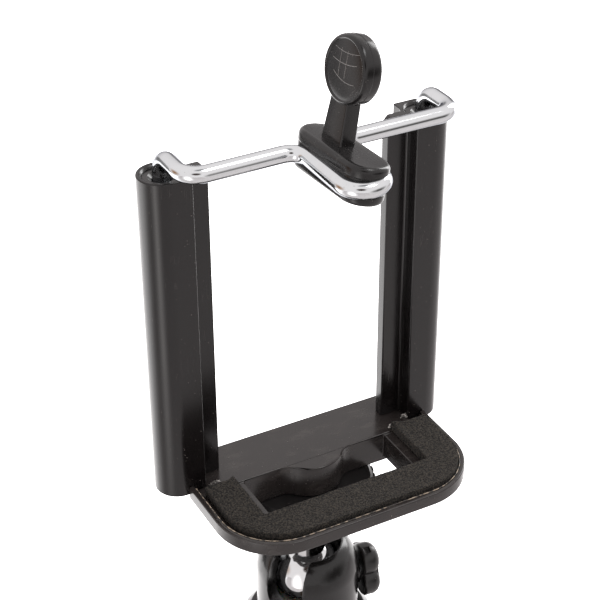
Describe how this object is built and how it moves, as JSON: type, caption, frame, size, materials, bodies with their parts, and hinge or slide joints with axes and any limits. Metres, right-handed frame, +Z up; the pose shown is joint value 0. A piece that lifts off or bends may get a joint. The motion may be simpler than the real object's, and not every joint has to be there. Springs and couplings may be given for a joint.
{
  "type": "selfie stick",
  "caption": "Handheld telescopic pole with a foam grip, ball head and a sprung wire bail that clamps a phone between two rails and a padded shelf.",
  "frame": {"origin": "middle of the foam grip, on the pole's axis", "axes": "+Z up the pole toward the phone holder, -Y the front that the phone is loaded from, +X to the right seen from the front"},
  "size_m": [0.0552, 0.0368, 0.2963],
  "materials": {
    "handle_black": "moulded, fine matt",
    "tube_core": "anodised dark",
    "grip_foam": "closed-cell foam, matt",
    "pole_steel": "polished stainless tube",
    "bush_nylon": "natural nylon",
    "head_black": "glossy black",
    "knob_black": "satin black",
    "shoe_brass": "plain",
    "screw_steel": "zinc plated",
    "ball_chrome": "polished chrome",
    "nut_brass": "plain",
    "base_black": "semi-gloss black",
    "pad_foam": "dark grey-brown foam",
    "rail_black": "semi-gloss black",
    "spring_steel": "drawn spring wire",
    "stop_steel": "plain",
    "wire_chrome": "bright chrome",
    "clip_rubber": "satin black, face polished"
  },
  "bodies": {
    "handle": {"end_cap": "handle_black", "core_tube": "tube_core", "grip_sleeve": "grip_foam", "handle_collar": "handle_black"},
    "pole_1": {"pole_section_1": "pole_steel", "section_bush_1": "bush_nylon"},
    "pole_2": {"pole_section_2": "pole_steel", "section_bush_2": "bush_nylon"},
    "pole_3": {"pole_section_3": "pole_steel", "section_bush_3": "bush_nylon"},
    "pole_4": {"pole_section_4": "pole_steel", "section_bush_4": "bush_nylon"},
    "pole_5": {"pole_section_5": "pole_steel", "section_bush_5": "bush_nylon", "head_collar": "head_black", "ball_housing": "head_black", "ball_seat": "bush_nylon"},
    "shoe": {"pressure_shoe": "shoe_brass"},
    "clamp": {"clamp_screw": "screw_steel", "clamp_knob": "knob_black"},
    "ball": {"ball_stud": "ball_chrome"},
    "disc": {"lock_disc": "knob_black"},
    "holder": {"tripod_nut": "nut_brass", "base_plate": "base_black", "foam_pad": "pad_foam", "left_rail": "rail_black", "right_rail": "rail_black", "left_bush": "rail_black", "right_bush": "rail_black", "left_plug": "rail_black", "right_plug": "rail_black", "left_spring": "spring_steel", "right_spring": "spring_steel"},
    "bail": {"left_leg_stop": "stop_steel", "right_leg_stop": "stop_steel", "wire_bail": "wire_chrome", "clip_block": "clip_rubber"}
  },
  "joints": [
    {"name": "section_1_slide", "type": "slide", "parent": "handle", "child": "pole_1", "axis": [0, 0, 1], "range_m": [0, 0.096]},
    {"name": "section_2_slide", "type": "slide", "parent": "pole_1", "child": "pole_2", "axis": [0, 0, 1], "range_m": [0, 0.096]},
    {"name": "section_3_slide", "type": "slide", "parent": "pole_2", "child": "pole_3", "axis": [0, 0, 1], "range_m": [0, 0.096]},
    {"name": "section_4_slide", "type": "slide", "parent": "pole_3", "child": "pole_4", "axis": [0, 0, 1], "range_m": [0, 0.096]},
    {"name": "section_5_slide", "type": "slide", "parent": "pole_4", "child": "pole_5", "axis": [0, 0, 1], "range_m": [0, 0.096]},
    {"name": "clamp_turn", "type": "hinge", "parent": "pole_5", "child": "clamp", "pos_m": [0, 0, 0.1133], "axis": [0.9925, -0.1219, 0], "range_deg": [-180, 0]},
    {"name": "shoe_slide", "type": "slide", "parent": "pole_5", "child": "shoe", "axis": [0.9925, -0.1219, 0], "range_m": [0, 0.00035]},
    {"name": "ball_tilt", "type": "hinge", "parent": "pole_5", "child": "ball", "pos_m": [0, 0, 0.116], "axis": [0.5446, -0.8387, 0], "range_deg": [-12, 88]},
    {"name": "disc_turn", "type": "hinge", "parent": "ball", "child": "disc", "pos_m": [0, 0, 0.136], "axis": [0, 0, 1], "continuous": true},
    {"name": "holder_turn", "type": "hinge", "parent": "ball", "child": "holder", "pos_m": [0, 0, 0.144], "axis": [0, 0, 1], "continuous": true},
    {"name": "bail_slide", "type": "slide", "parent": "holder", "child": "bail", "axis": [0, 0, 1], "range_m": [0, 0.028], "stiffness_N_per_m": 250, "springref_m": -0.03, "deforming": ["left_spring", "right_spring"]}
  ],
  "couplings": [
    {"joint": "shoe_slide", "follows": "clamp_turn", "m_per_rad": -0.00011141}
  ]
}
